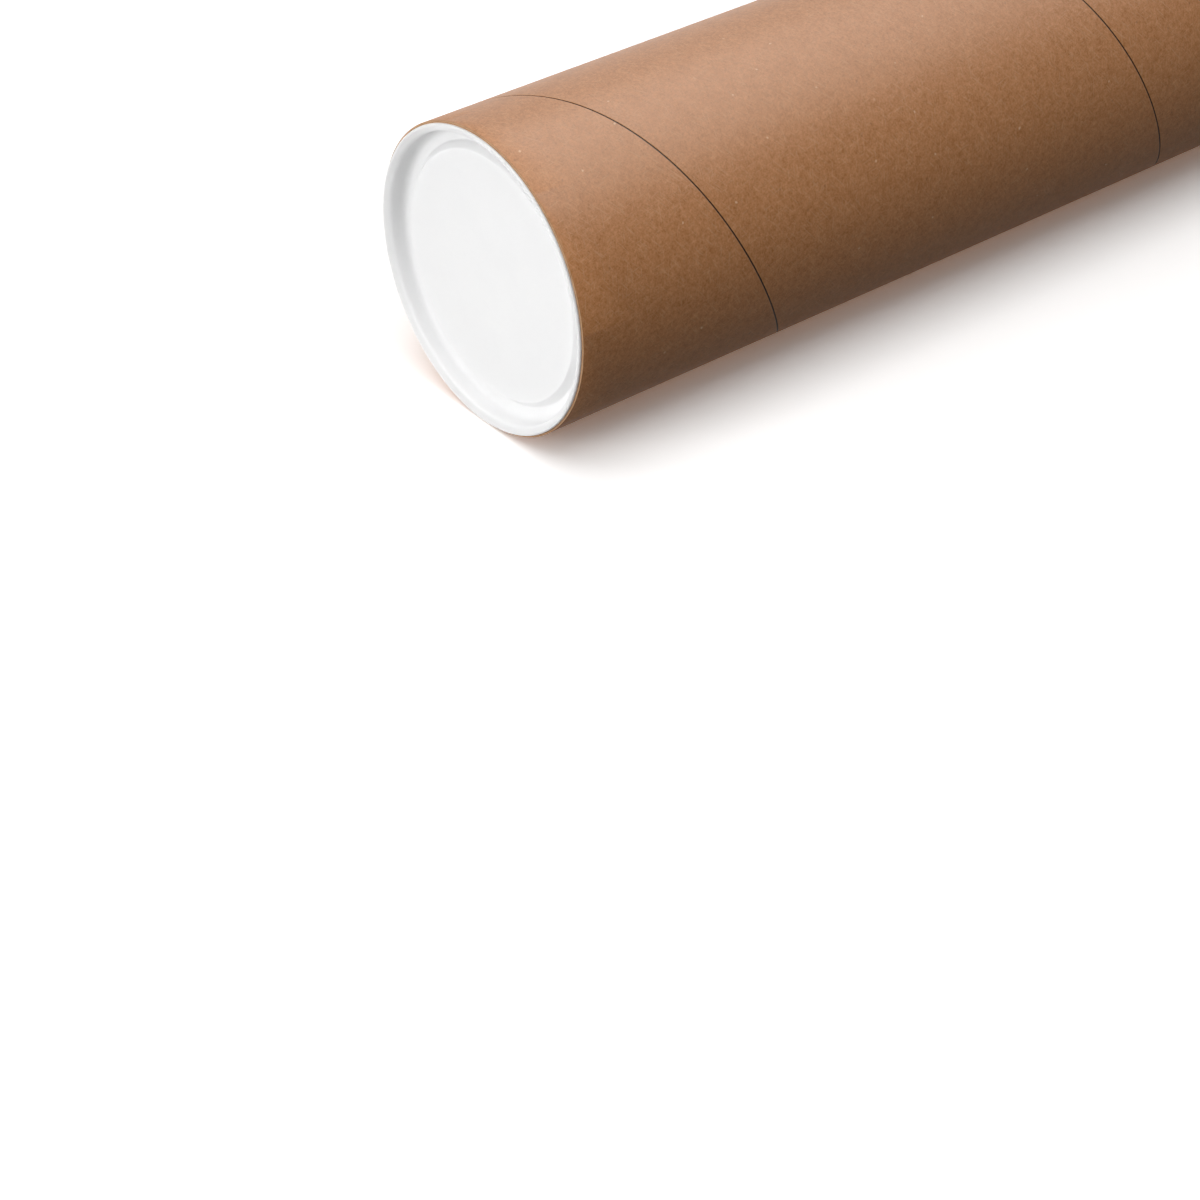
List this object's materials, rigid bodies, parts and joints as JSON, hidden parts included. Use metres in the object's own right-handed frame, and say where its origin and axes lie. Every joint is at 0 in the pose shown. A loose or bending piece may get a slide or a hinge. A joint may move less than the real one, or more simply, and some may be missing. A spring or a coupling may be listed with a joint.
{
  "type": "cardboard mailing tube",
  "caption": "Long round spirally wound cardboard tube, closed by a push-in white plastic plug at each end, to post or store rolled sheets.",
  "frame": {"origin": "centre of the lower lip's flat crest, on the tube's axis, in the plane that the tube stands on", "axes": "+Z runs along the tube's axis, upward to the plug that is at the top; -Y is the side that the camera is on"},
  "size_m": [0.0794, 0.0794, 0.6115],
  "materials": {
    "kraft_board": "uncoated brown kraft board, matte, with fine fibres",
    "white_plastic": "white moulded polyethylene, satin"
  },
  "bodies": {
    "tube": {"tube": "kraft_board"},
    "upper_plug": {"upper_plug": "white_plastic"},
    "lower_plug": {"lower_plug": "white_plastic"}
  },
  "joints": [
    {"name": "upper_plug_pull", "type": "slide", "parent": "tube", "child": "upper_plug", "axis": [0, 0, 1], "range_m": [0, 0.029]},
    {"name": "lower_plug_pull", "type": "slide", "parent": "tube", "child": "lower_plug", "axis": [0, 0, -1], "range_m": [0, 0.029]}
  ]
}
